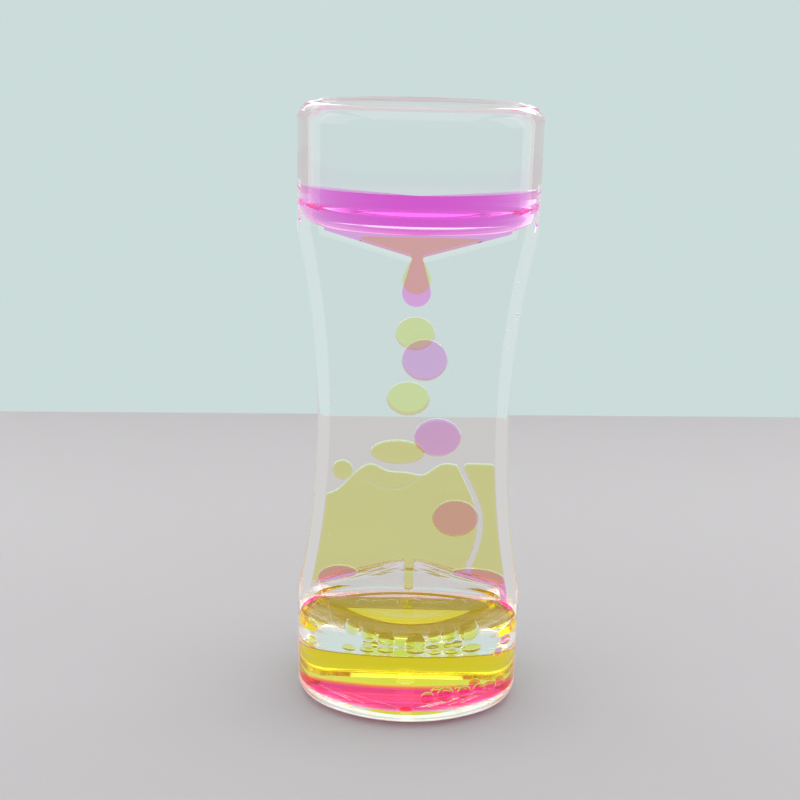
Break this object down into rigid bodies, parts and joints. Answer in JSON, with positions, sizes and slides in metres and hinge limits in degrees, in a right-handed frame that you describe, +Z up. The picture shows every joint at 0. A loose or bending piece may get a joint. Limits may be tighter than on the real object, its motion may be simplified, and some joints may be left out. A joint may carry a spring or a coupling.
{
  "type": "liquid motion timer",
  "caption": "Clear flat-waisted desk timer with an oval reservoir at each end, in which dyed drops sink through oil in flat channels either side of a divider.",
  "frame": {"origin": "centre of the base, on the surface it stands on", "axes": "+Z up along the height, -Y to the front, where the pink chamber is, +X to the right seen from the front"},
  "size_m": [0.052, 0.038, 0.138],
  "materials": {
    "shell_plastic": "clear polished moulding",
    "plate_plastic": "clear polished sheet",
    "plug_plastic": "clear, slightly cloudy",
    "clear_oil": "clear mineral oil",
    "pink_liquid": "clear liquid dyed pink",
    "yellow_liquid": "clear liquid dyed yellow"
  },
  "bodies": {
    "timer": {"front_shell": "shell_plastic", "rear_shell": "shell_plastic", "divider_plate": "plate_plastic", "front_fill_plug": "plug_plastic", "rear_fill_plug": "plug_plastic", "front_clear_oil": "clear_oil", "rear_clear_oil": "clear_oil", "pink_upper_pool": "pink_liquid", "pink_left_pool": "pink_liquid", "pink_right_pool": "pink_liquid", "pink_base_pool": "pink_liquid", "pink_base_beads": "pink_liquid", "yellow_upper_pool": "yellow_liquid", "yellow_waist_pool": "yellow_liquid", "yellow_side_pool": "yellow_liquid", "yellow_lobe": "yellow_liquid", "yellow_landed_drop": "yellow_liquid", "yellow_base_pool": "yellow_liquid", "yellow_base_beads": "yellow_liquid"},
    "pink_drop_a": {"pink_drop_upper": "pink_liquid"},
    "pink_drop_b": {"pink_drop_middle": "pink_liquid"},
    "pink_drop_c": {"pink_drop_lower": "pink_liquid"},
    "yellow_drop_a": {"yellow_drop_upper": "yellow_liquid"},
    "yellow_drop_b": {"yellow_drop_lower": "yellow_liquid"},
    "pink_beads": {"pink_sinking_beads": "pink_liquid"}
  },
  "joints": [
    {"name": "pink_fall", "type": "slide", "parent": "timer", "child": "pink_drop_a", "axis": [0, 0, 1], "range_m": [-0.0075, 0.0065], "deforming": ["front_clear_oil"]},
    {"name": "pink_fall_middle", "type": "slide", "parent": "timer", "child": "pink_drop_b", "axis": [0, 0, 1], "range_m": [-0.0075, 0.0065]},
    {"name": "pink_fall_lower", "type": "slide", "parent": "timer", "child": "pink_drop_c", "axis": [0, 0, 1], "range_m": [-0.0075, 0.0065]},
    {"name": "yellow_fall", "type": "slide", "parent": "timer", "child": "yellow_drop_a", "axis": [0, 0, 1], "range_m": [-0.0053, 0.0042], "deforming": ["rear_clear_oil"]},
    {"name": "yellow_fall_lower", "type": "slide", "parent": "timer", "child": "yellow_drop_b", "axis": [0, 0, 1], "range_m": [-0.0053, 0.0042]},
    {"name": "bead_sink", "type": "slide", "parent": "timer", "child": "pink_beads", "axis": [0, 0, 1], "range_m": [-0.005, 0.003]}
  ],
  "couplings": [
    {"joint": "pink_fall_middle", "follows": "pink_fall", "ratio": 1},
    {"joint": "pink_fall_lower", "follows": "pink_fall", "ratio": 1},
    {"joint": "yellow_fall_lower", "follows": "yellow_fall", "ratio": 1}
  ]
}
